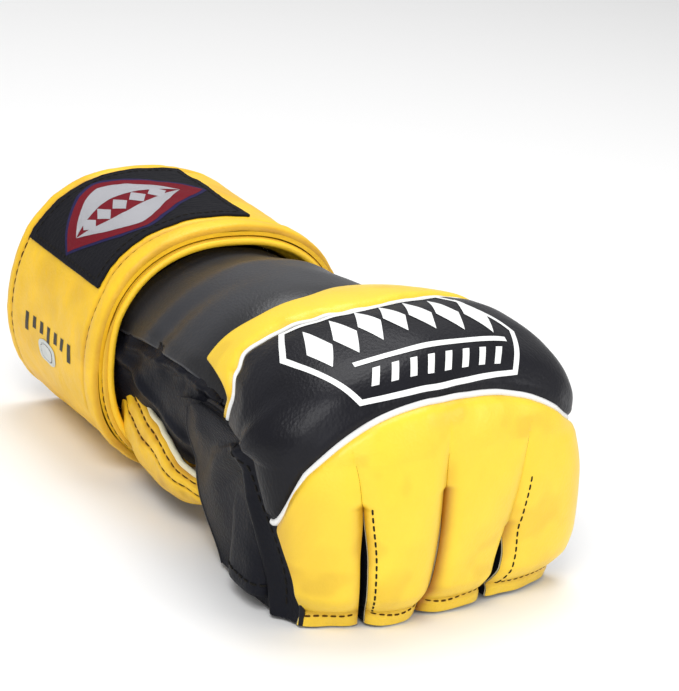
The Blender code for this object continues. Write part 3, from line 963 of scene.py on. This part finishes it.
def build_little_wall():
    """Black leather under the pad's little-finger edge, down to the finger loop."""
    piece = Piece("little_side_wall", black)

    def surface(u, v):
        station = mix(1.0, HEM - 0.05, u)
        rim = pad(station, np.full_like(station, 0.995), 1.2)
        rim[..., 1] -= 0.9
        root = np.stack([50.0 + 6.0 * u + 18.0 * smooth(0.45, 1.1, u), mix(36.0, 42.0, u),
                         mix(36.0, 3.0, u)], -1)
        point = rim + (root - rim) * v[..., None]
        belly = np.sin(math.pi * np.clip(v, 0, 1))
        point[..., 1] += belly * (1.5 + lumps(u * 60.0 + 50.0, v * 30.0, 10.0))
        return point

    add_wall(piece, surface, black, np.array((0.0, 1.0, 0.0)), ((110, 40), (50, 20)), (1.0,))
    bend_wall(piece)


# ---------------------------------------------------------------- hand sleeve

def shell(piece, surface, u, v, material, thick=1.3, back=None, flip=False, shade=None):
    """A leather panel: surface(u, v, depth), its inner side and a rolled edge all round."""
    piece.grid(at_depth(surface, 0.0), u, v, material, flip=flip, shade=shade)
    piece.grid(at_depth(surface, thick), u[::3], v[::3], back or liner, flip=not flip)
    for side in four_sides(u, v):
        path, ups = path_on(at_depth(surface, thick / 2), *side)
        piece.tube(path, thick / 2 + 0.08, material, ups=ups)


GUSSET_TOP = 157.0                   # the sleeve's angle at the gusset's upper seam


def near_strap(x):
    """How much the sleeve fills out where it comes from under the strap."""
    return 3.6 * smooth(15.0, -1.5, x)


def gusset_bottom(x):
    return (mix(204.0, 214.0, smooth(0.0, 40.0, x)) + 9.0 * smooth(44.0, 58.0, x)
            + 13.0 * smooth(12.0, 34.0, x))


def build_back():
    """Smooth leather over the back of the hand."""
    piece = Piece("back_hand_skin", painted_sheen_black)

    def surface(x, angle, depth):
        dents = 0.54 * lumps(x, angle * 0.6, 22.0)
        folds = 1.1 * bell(x - 14.0 - 3.0 * np.sin(angle * 0.06), 3.5) * smooth(70, 20, angle)
        folds += 1.3 * bell(x - 30.0 + 0.09 * (angle - 90.0), 5.0) * smooth(95, 150, angle)
        edge = 0.64 * smooth(150.0, 160.0, angle) * (1.0 + 0.4 * noise(x / 9.0, angle / 60.0))
        hump = smooth(2.0, 14.0, x) * smooth(52.0, 30.0, x)
        return sleeve(x, angle, depth + dents + folds - edge - hump - near_strap(x))

    # Painted shade: a shadow beside the strap's edge, under the pad's rear and along the seam to
    # the thumb gusset.
    def shade(x, angle):
        return (0.5 * bell(x - 2.0, 3.0) + 0.8 * smooth(38.0, 50.0, x)
                + 0.5 * smooth(150.0, 161.0, angle))

    def reach(angle, share):
        """The panel runs further under the pad on the thumb side."""
        return mix(-3.5, mix(52.0, 68.0, smooth(105.0, 140.0, angle)), share)

    shell(piece, lambda share, angle, depth: surface(reach(angle, share), angle, depth),
          np.linspace(0.0, 1.0, 72), spaced(16.0, 163.0, 1.2), painted_sheen_black, flip=True,
          shade=lambda share, angle: shade(reach(angle, share), angle))
    made = piece.finish("black_leather")
    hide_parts("back_hand_panel")
    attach(made, "hand")


def build_thumb_gusset():
    """Soft gathered leather between the back panel, the pad and the thumb hole."""
    piece = Piece("thumb_gusset_skin", soft_black)

    def surface(x, share, depth):
        angle = mix(GUSSET_TOP, gusset_bottom(x), share)
        down = (angle - 160.0) * 0.7
        folds = 0.9 * np.sin(x * 0.24 + down * 0.14 + 1.4 * noise(x / 16.0, down / 13.0))
        folds *= smooth(-2.0, 8.0, x) * smooth(-0.1, 0.3, share) * smooth(1.1, 0.75, share)
        gathers = 0.8 * noise(x / 3.2, down / 16.0) * bell(share - 0.14, 0.10)
        gathers -= 1.6 * smooth(0.07, 0.0, share)
        long_fold = 1.8 * bell(down - 12.0 - 0.42 * (x - 4.0) + noise(x / 9.0, x / 50.0), 2.4)
        cross_fold = 1.4 * bell(down - 7.5 + 0.07 * x, 1.8) * smooth(0.0, 9.0, x)
        waves = 0.5 * lumps(x, down * 1.3, 12.0)
        bulge = 2.8 * smooth(0.55, 1.0, share) * smooth(20.0, 34.0, x) + near_strap(x)
        return sleeve(x, angle, depth - folds * 0.55 - gathers - long_fold - cross_fold - waves
                      - bulge)

    # Painted shade along the top seam and where the gusset runs under the strap.
    def shade(x, share):
        return 0.5 * smooth(0.08, 0.0, share) + 0.4 * smooth(4.0, -1.0, x)

    shell(piece, surface, spaced(-3.5, 66.0, 0.55), np.linspace(0, 1, 90), soft_black,
          flip=True, shade=shade)
    piece.sew(at_depth(surface, -0.15), spaced(2.0, 40.0, 0.8), 0.05,
              dark_thread, turned=True, pitch=3.4, length=1.9, width=0.36)
    made = piece.finish("black_leather")
    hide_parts("thumb_side_gusset")
    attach(made, "hand")


def build_little_gusset():
    piece = Piece("little_gusset_skin", soft_black)

    def surface(x, angle, depth):
        folds = 0.9 * np.sin(x * 0.35 + angle * 0.09) + 0.8 * lumps(x, angle * 0.6, 9.0)
        return sleeve(x, angle, depth - folds * smooth(-2.0, 8.0, x) - near_strap(x))

    shell(piece, surface, spaced(-3.5, 66.0, 0.9), spaced(320.0, 376.0, 1.3), soft_black,
          flip=True)
    made = piece.finish("black_leather")
    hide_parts("little_side_gusset")
    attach(made, "hand")


def palm_low(x):
    return mix(258.0, 221.0, smooth(44.0, 58.0, x))


def build_palm():
    """Palm leather with its oval opening and rolled edge."""
    piece = Piece("palm_skin", soft_black)
    hole_x, hole_y, half_length, half_width = PALM_HOLE

    def surface(share, turn, depth):
        ring_x = hole_x + half_length * np.cos(turn)
        ring_y = hole_y + half_width * np.sin(turn)
        middle_y, _, width, _ = sleeve_sizes(ring_x)
        ring_angle = 270.0 + np.degrees(np.arcsin(np.clip((ring_y - middle_y) / width, -1, 1)))
        reach = 1.0 / np.maximum(np.abs(np.cos(turn)), np.abs(np.sin(turn)))
        far_x = np.clip(32.5 + 35.0 * np.cos(turn) * reach, -1.5, PALM_END)
        side = np.clip(np.sin(turn) * reach, -1.0, 1.0)
        far_angle = mix(palm_low(far_x), 323.0, (side + 1) / 2)
        x, angle = mix(ring_x, far_x, share), mix(ring_angle, far_angle, share)
        wrinkles = 0.7 * lumps(x, angle * 0.6, 9.0) * smooth(0.0, 0.2, share)
        return sleeve(x, angle, depth - wrinkles - 0.9 * smooth(0.25, 0.0, share))

    shares, turns = np.linspace(0.0, 1.0, 40), np.linspace(0.0, math.tau, 161)
    piece.grid(at_depth(surface, 0.0), shares, turns, soft_black, flip=True)
    piece.grid(at_depth(surface, 1.3), shares[::3], turns[::4], liner)
    for share in (0.0, 1.0):
        path, ups = path_on(at_depth(surface, 0.65), share, turns)
        piece.tube(path, 1.5 if share == 0.0 else 0.7, soft_black, ups=ups, sides=12)
    piece.sew(at_depth(surface, -0.1), 0.16, turns, dark_thread, turned=True)
    made = piece.finish("black_leather")
    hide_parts("palm_panel", "palm_opening_binding")
    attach(made, "hand")


def build_palm_fold():
    """Pleated leather that runs up from the palm to the backs of the finger loops."""
    piece = Piece("palm_fold_skin", soft_black)
    low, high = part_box("palm_fold")
    top = high.z / MM
    start = low.x / MM + ORIGIN[0]

    def surface(row, y, depth):
        middle_y, middle_z, width, height = sleeve_sizes(np.full_like(y, start))
        end = mix(79.0, 69.5, smooth(-14.0, 14.0, y))
        rise = np.sqrt(np.clip(1.0 - ((y - middle_y) / width) ** 2, 0.0, 1.0))
        bottom = middle_z - height * rise
        turn = row * math.pi / 2
        pleats = 0.7 * np.sin(row * 22.0 + noise(y / 8.0, row * 3.0)) * np.sin(math.pi * row)
        x = mix(start - 1.0, end, np.sin(turn)) - (depth + pleats) * row
        return np.stack([x, y, mix(bottom, top, 1.0 - np.cos(turn))
                         + (depth + pleats) * (1.0 - row)], -1)

    shell(piece, surface, np.linspace(0, 1, 40), spaced(-35.0, 32.0, 1.2), soft_black,
          flip=True)
    made = piece.finish("black_leather")
    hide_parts("palm_fold")
    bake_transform(made)


# The binding's middle line and outward direction, from the strap round the thumb and back.
BAND_LINE = np.array((
    (1.0, -41.0, 25.5), (9.0, -42.8, 22.2), (18.0, -43.0, 19.2), (27.0, -43.0, 16.8),
    (36.0, -42.5, 14.8), (45.0, -40.5, 13.4), (52.0, -35.5, 12.0), (53.0, -28.0, 10.0),
    (47.0, -21.5, 9.0), (36.0, -18.0, 9.2), (24.0, -17.0, 9.6), (14.0, -18.0, 10.8),
    (3.0, -20.5, 13.6),
))
BAND_OUT = np.array((
    (0.0, -1.0, -0.1), (0.0, -1.0, -0.1), (0.0, -1.0, -0.12), (0.0, -1.0, -0.15),
    (0.0, -1.0, -0.25), (0.25, -1.0, -0.4), (0.6, -0.7, -0.8), (0.4, -0.3, -1.0),
    (0.0, -0.25, -1.0), (0.0, -0.3, -1.0), (0.0, -0.3, -1.0), (0.0, -0.35, -1.0),
    (0.0, -0.4, -1.0),
))
BAND_WIDTHS = np.array((18.0, 19.5, 20.0, 18.5, 15.5, 12.0, 10.0, 11.0, 12.0, 12.0, 12.0,
                        12.0, 12.0))[:, None]
BAND_SEAMS = 0.14, 0.40              # shares across the band


def along(points, share):
    return curve(points, np.clip(share, 0.0, 1.0) * (len(points) - 1))


def build_thumb_band():
    """Wide yellow binding round the thumb hole, with two stitch rows and raw edges."""
    piece = Piece("thumb_binding_skin", strap_yellow)

    def surface(row, column, depth):
        middle = along(BAND_LINE, row)
        ahead = along(BAND_LINE, np.clip(row, 0, 0.99) + 0.01) - along(
            BAND_LINE, np.clip(row, 0.01, 1) - 0.01)
        out = unit(along(BAND_OUT, row))
        beside = unit(np.cross(ahead, out)) * along(BAND_WIDTHS, row)
        puff = 1.2 * np.sqrt(np.clip(np.sin(math.pi * np.clip(column, 0, 1)), 0, 1))
        valley = 0.8 * bell(column - BAND_SEAMS[0], 0.035)
        valley += 0.8 * bell(column - BAND_SEAMS[1], 0.04)
        ripple = 0.6 * lumps(row * 110.0, column * 15.0, 9.0)
        wavy = 0.5 * noise(row * 19.0, column * 0.5)
        curl = 1.6 * (column - 0.5) ** 2 * 4.0
        lift = puff - valley + ripple - wavy - curl - depth
        return middle + beside * (column - 0.5)[..., None] + out * lift[..., None]

    # Painted shade in the two stitch valleys; also darker along both edges, and random tone.
    def shade(row, column):
        dark = sum(0.55 * bell(column - seam, 0.035) for seam in BAND_SEAMS)
        dark += 0.35 * smooth(0.1, 0.0, column) + 0.35 * smooth(0.9, 1.0, column)
        return dark + 0.35 * np.clip(lumps(row * 110.0 + 20.0, column * 15.0, 5.0), 0, 1)

    rows, columns = np.linspace(0.0, 1.0, 260), np.linspace(0, 1, 34)
    turned = column_faces_in(surface)
    piece.grid(at_depth(surface, 0.0), rows, columns, strap_yellow, shade=shade, flip=turned)
    piece.grid(at_depth(surface, 2.0), rows[::3], columns[::3], liner, flip=not turned)
    for column in (0.0, 1.0):
        path, ups = path_on(at_depth(surface, 0.9), rows, column)
        piece.tube(path, 0.95, raw_edge if column == 0.0 else strap_yellow, ups=ups)
    for column in BAND_SEAMS:
        piece.sew(at_depth(surface, -0.1), rows, column, thread, turned=turned)
    made = piece.finish("yellow_leather")
    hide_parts("thumb_binding")
    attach(made, "hand")


def column_faces_in(surface):
    """True where the surface's natural normal points into the glove."""
    row, column = np.array((0.3,)), np.array((0.5,))
    _, ups = path_on(at_depth(surface, 0.0), row, column)
    return bool(ups[0] @ along(BAND_OUT, row)[0] < 0)


# ---------------------------------------------------------------- wrist strap

def strap_relief(angle, x):
    """Depth of the strap's leather under its plain form: welts along both long edges."""
    front, rear = -x, x + STRAP_WIDTH
    sunk = roll(front, 1.5) + roll(rear, 1.5)
    sunk = sunk + 0.9 * bell(front - FRONT_SEAM, 1.0) + 0.8 * bell(rear - REAR_SEAM, 0.9)
    sunk = sunk - 0.7 * np.sin(math.pi * np.clip(front / FRONT_SEAM, 0, 1))
    sunk = sunk - 0.55 * lumps(x, angle * 0.75, 20.0)
    return sunk - 0.14 * lumps(x, angle * 0.75, 4.5)


def strap_surface(angle, x, depth=0.0):
    return wrist(angle, x, depth + strap_relief(angle, x))


# Painted shade in the two stitch valleys; also darker along both edges, and random tone.
def strap_shade(angle, x):
    front, rear = -x, x + STRAP_WIDTH
    dark = 0.6 * bell(front - FRONT_SEAM, 0.8) + 0.5 * bell(rear - REAR_SEAM, 0.8)
    dark = dark + 0.45 * smooth(1.6, 0.0, front) + 0.45 * smooth(1.6, 0.0, rear)
    return dark + 0.18 * np.clip(lumps(x + 9.0, angle * 0.75, 11.0), 0, 1)


BEND_HALF = 9.0                      # degrees either side of a strap hinge


def blend_strap(piece, number):
    """Bakes a strap piece's transform; the ends of hinge `number`, counted from 1, are worked
    out but not used.
    """
    joint = STRAP_JOINTS[number - 1]
    start, end = (world(wrist(joint + side * BEND_HALF, -STRAP_WIDTH / 2, 0.0))
                  for side in (1, -1))
    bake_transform(piece)


def build_strap_piece(number, start, end):
    piece = Piece("strap_%d_skin" % number, strap_yellow)
    angles = spaced(start, end, 0.9)
    across = spaced(-STRAP_WIDTH, 0.0, 0.8, (0.02, 0.1, 0.3, 0.6))
    piece.grid(strap_surface, angles, across, strap_yellow, shade=strap_shade)

    def on_top(angle, x):
        return strap_surface(angle, x, -0.1)

    def inner(angle, x):
        return wrist(angle, x, STRAP_THICKNESS)

    piece.grid(inner, angles[::2], across[::4], strap_yellow, flip=True)
    for x in (-STRAP_WIDTH, 0.0):
        piece.grid(lambda a, d, x=x: wrist(a, x, mix(1.4, STRAP_THICKNESS, d)), angles,
                   np.array((0.0, 1.0)), strap_yellow, flip=x < -1.0)
    for angle in ((start,) if number == 1 else (end,) if number == 6 else ()):
        line = spaced(-STRAP_WIDTH + 0.8, -0.8, 2.0)
        path = wrist(angle, line, 1.35)
        piece.tube(path, 1.35, strap_yellow)
    for x in (-FRONT_SEAM, -STRAP_WIDTH + REAR_SEAM):
        piece.sew(on_top, angles, x, thread)
    if number == 6:
        piece.sew(on_top, end + 6.0, spaced(-58.0, -8.5, 0.8), thread)
    made = piece.finish("yellow_leather")
    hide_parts(*(("strap_anchor",) if number == 1 else ()),
                "strap_segment_%d" % number)
    blend_strap(made, number)


def build_strap():
    middles = [(a + b) / 2 for a, b in zip(STRAP_JOINTS, STRAP_JOINTS[1:])]
    borders = [STRAP_START, *middles, STRAP_TIP]
    for number, (start, end) in enumerate(zip(borders, borders[1:]), 1):
        build_strap_piece(number, start, end)


def inner_turn_front(angle):
    """How far past the outer turn the inner one shows; most beside the thumb."""
    return 1.0 + 2.2 * smooth(150.0, 200.0, angle)


def build_inner_turn():
    """The strap's first turn, which peeks out beside the outer one."""
    piece = Piece("inner_turn_skin", strap_yellow)
    hook = STRAP_THICKNESS + 0.3
    near = hook + 2 * (PATCH_THICKNESS + 0.3)

    def surface(angle, x, depth):
        front = inner_turn_front(angle) - x
        sunk = roll(front, 1.2) + 0.3 * bell(front - INNER_SEAM, 0.5)
        rise = 2.5 * smooth(-7.0, -1.2, x) + 1.2 * smooth(0.2, 1.4, x)
        return wrist(angle, x, near - rise + depth + sunk)

    # Painted shade in the stitch valley; also darker along the front edge.
    def shade(angle, x):
        front = inner_turn_front(angle) - x
        return 0.5 * bell(front - INNER_SEAM, 0.6) + 0.45 * smooth(1.4, 0.0, front)

    def placed(angle, share, depth):
        return surface(angle, mix(-60.0, inner_turn_front(angle), share), depth)

    angles = spaced(308.0, -20.0, 1.2)
    shares = np.concatenate([np.linspace(0.0, 0.86, 10), np.linspace(0.87, 1.0, 26)])
    shell(piece, placed, angles, shares, strap_yellow, thick=2.0, back=strap_yellow,
          shade=lambda a, b: shade(a, mix(-60.0, inner_turn_front(a), b)))
    line = spaced(246.0, 168.0, 1.2)
    piece.sew(at_depth(surface, -0.1), line, inner_turn_front(line) - INNER_SEAM, thread)
    made = piece.finish("yellow_leather")
    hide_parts("strap_inner_turn")
    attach(made, "hand")


def build_cuff():
    near = 2 * (STRAP_THICKNESS + PATCH_THICKNESS) + 0.9 + 0.8
    piece = Piece("wrist_cuff_skin", soft_black)
    angles = spaced(0.0, 360.0, 2.4)

    def outer(angle, x, depth):
        wave = 0.25 * np.sin(np.radians(angle) * 9.0) * smooth(-50.0, -60.0, x)
        return wrist(angle, x, near + depth + wave)

    shell(piece, outer, angles, spaced(-61.5, -1.0, 1.5), soft_black, thick=2.0)
    piece.sew(at_depth(outer, 2.2), angles, -57.0, dark_thread)
    made = piece.finish("black_leather")
    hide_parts("wrist_cuff")
    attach(made, "hand")
    frame["nodes"]["cuff_lining"].data.materials[0] = liner


LABEL_ANGLES, LABEL_X = (153.5, 79.0), (-59.0, -10.5)
TICK_ANGLE, TICK_X, TICK_PITCH = 181.0, -18.0, 5.2
STICKER_ANGLE, STICKER_X = 192.0, -35.0


def build_label():
    """Woven label with a generic lozenge on it."""
    piece = Piece("woven_label", label_cloth)

    def on_strap(u, v, lift):
        return strap_surface(mix(*LABEL_ANGLES, u), mix(*LABEL_X, v), -lift)

    def surface(u, v):
        weave = 0.06 * np.sin(v * 160.0) * np.sin(u * 60.0)
        return on_strap(u, v, 0.75 + weave)

    piece.grid(surface, np.linspace(0, 1, 110), np.linspace(0, 1, 90), label_cloth,
               flip=True)
    for side in four_sides(np.linspace(0, 1, 90), np.linspace(0, 1, 70)):
        path, ups = path_on(surface, *side)
        piece.tube(path + ups * 0.35, 0.5, label_cloth, ups=ups)
    for side in four_sides(np.linspace(0.03, 0.97, 90), np.linspace(0.05, 0.95, 70)):
        piece.sew(surface, *side, dark_thread, turned=True, pitch=2.4, length=1.7, width=0.3)

    def lozenge(half_u, half_v, lift, material, low=-1.0, high=1.0):
        """Pointed lozenge; low and high cut it to a band across its height."""
        def at(a, b):
            reach = half_v * (1.0 - np.abs(a) ** 1.5)
            u = 0.50 + a * half_u
            v = 0.50 + mix(low, high, b) * reach
            return on_strap(u, v, 0.80 + lift)
        piece.grid(at, np.linspace(-1, 1, 90), np.linspace(0, 1, 24), material, flip=True)

    lozenge(0.465, 0.43, 0.05, label_blue)
    lozenge(0.440, 0.395, 0.12, label_red)
    lozenge(0.340, 0.330, 0.19, label_white, 0.36, 1.0)
    lozenge(0.340, 0.330, 0.19, label_white, -1.0, -0.36)
    for middle in np.linspace(-0.62, 0.62, 5):
        def diamond(a, b, middle=middle):
            u = 0.50 + 0.36 * middle + (a + b - 1.0) * 0.050
            v = 0.50 + (a - b) * 0.092
            return on_strap(u, v, 1.0)
        piece.grid(diamond, np.linspace(0, 1, 8), np.linspace(0, 1, 8), label_white)
    made = piece.finish("woven_label")
    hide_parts("label_patch_side", "label_patch_back")
    blend_strap(made, 4)


def build_marks():
    """Generic size ticks stamped on the strap, and the small round-cornered sticker."""
    piece = Piece("size_ticks", stamp)
    for number in range(7):
        x = TICK_X - TICK_PITCH * number
        tall = 5.2 if number % 3 == 0 else 3.2
        piece.grid(lambda u, v, x=x, tall=tall: strap_surface(
            TICK_ANGLE + tall * 1.35 * u, x - 1.1 + 2.2 * v, -0.12),
            np.linspace(0, 1, 8), np.linspace(0, 1, 4), stamp)
    made = piece.finish("woven_label")
    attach(made, "strap_2")
    piece = Piece("silver_sticker", foil)

    def surface(radius, turn):
        side, rise = squarish(turn, 0.7)
        angle, x = STICKER_ANGLE + 5.0 * radius * rise, STICKER_X + 6.4 * radius * side
        return strap_surface(angle, x, -0.18 - 0.12 * smooth(1.0, 0.85, radius))

    piece.grid(surface, np.linspace(0.01, 1, 12), np.linspace(0, math.tau, 49), foil,
               flip=True)
    piece.grid(surface, np.linspace(0.62, 0.74, 3), np.linspace(0, math.tau, 49), stamp,
               flip=True)
    made = piece.finish("silver_foil")
    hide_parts("sticker")
    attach(made, "strap_2")


def build_patches():
    """Hook tape under the strap's free end and the loop tape that it closes on."""
    hook = STRAP_THICKNESS + 0.3
    loop = hook + PATCH_THICKNESS + 0.3
    for name, node, near, start, end, body in (
            ("hook_tape", "hook_patch", hook, 26.0, -28.0, "strap_6"),
            ("loop_tape", "loop_patch", loop, 26.0, -18.0, "hand")):
        piece = Piece(name, hook_cloth)

        def surface(angle, x, depth, near=near):
            pile = 0.10 * noise(x * 2.6, angle * 1.9) + 0.06 * noise(x * 6.0, angle * 4.4)
            return wrist(angle, x, near + depth + pile)

        shell(piece, surface, spaced(start, end, 0.7), spaced(-58.0, -8.0, 0.9), hook_cloth,
              thick=0.8, back=hook_cloth)
        made = piece.finish("hook_and_loop")
        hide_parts(node)
        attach(made, body)


# ---------------------------------------------------------------- stage, light and camera

def build_stage():
    size = 3.0
    mesh = bpy.data.meshes.new("floor")
    mesh.from_pydata([(-size, -size, 0), (size, -size, 0), (size, size, 0), (-size, size, 0)],
                     [], [(0, 1, 2, 3)])
    floor = bpy.data.objects.new("floor", mesh)
    bpy.context.scene.collection.objects.link(floor)
    paint = bpy.data.materials.new("floor_look")
    paint.use_nodes = True
    shader = paint.node_tree.nodes["Principled BSDF"]
    shader.inputs["Base Color"].default_value = (0.90, 0.90, 0.90, 1.0)
    shader.inputs["Roughness"].default_value = 0.7
    mesh.materials.append(paint)
    air = bpy.data.worlds.new("studio")
    air.use_nodes = True
    sky = air.node_tree.nodes["Background"]
    sky.inputs["Color"].default_value = (1.0, 1.0, 1.0, 1.0)
    sky.inputs["Strength"].default_value = 0.46
    bpy.context.scene.world = air


# Name, place, aim, size (all in metres) and power of each lamp.
LAMPS = (
    ("key", (0.55, -0.55, 0.95), (0.02, 0.0, 0.04), 0.55, 7.0),
    ("top", (-0.25, 0.15, 1.0), (0.0, 0.0, 0.05), 0.6, 5.5),
    ("front", (1.0, -0.40, 0.42), (0.06, 0.0, 0.04), 0.6, 1.8),
    ("side", (0.75, 0.75, 0.5), (0.03, 0.0, 0.04), 0.5, 2.5),
)


def build_lights():
    for name, place, aim, size, power in LAMPS:
        data = bpy.data.lights.new(name, "AREA")
        data.shape = "SQUARE"
        data.size = size
        data.energy = power
        lamp = bpy.data.objects.new(name, data)
        lamp.location = place
        aside = Vector(aim) - Vector(place)
        lamp.rotation_euler = aside.to_track_quat("-Z", "Y").to_euler()
        bpy.context.scene.collection.objects.link(lamp)


CAMERA_PLACE, CAMERA_AIM = (695.7, -398.2, 318.9), (53.3, -0.6, 58.1)
CAMERA_LENS, CAMERA_SENSOR, CAMERA_ROLL = 144.6, 36.0, -6.6


def build_camera():
    data = bpy.data.cameras.new("camera")
    data.lens, data.sensor_width = CAMERA_LENS, CAMERA_SENSOR
    data.clip_start, data.clip_end = 0.05, 20.0
    camera = bpy.data.objects.new("camera", data)
    place = Vector(world(CAMERA_PLACE))
    ahead = Vector(world(CAMERA_AIM)) - place
    camera.rotation_mode = "QUATERNION"
    camera.location = place
    tilt = Quaternion(ahead.normalized(), math.radians(CAMERA_ROLL))
    camera.rotation_quaternion = tilt @ ahead.to_track_quat("-Z", "Y")
    bpy.context.scene.collection.objects.link(camera)
    bpy.context.scene.camera = camera


bpy.context.scene.view_settings.view_transform = "Standard"
build_camera()
build_pad()
build_print()
for finger_number in range(len(FINGERS)):
    build_lobe(finger_number)
    build_loop(finger_number)
build_index_wall()
build_little_wall()
build_back()
build_thumb_gusset()
build_little_gusset()
build_palm()
build_palm_fold()
build_thumb_band()
build_strap()
build_inner_turn()
build_cuff()
build_label()
build_marks()
build_patches()
build_stage()
build_lights()
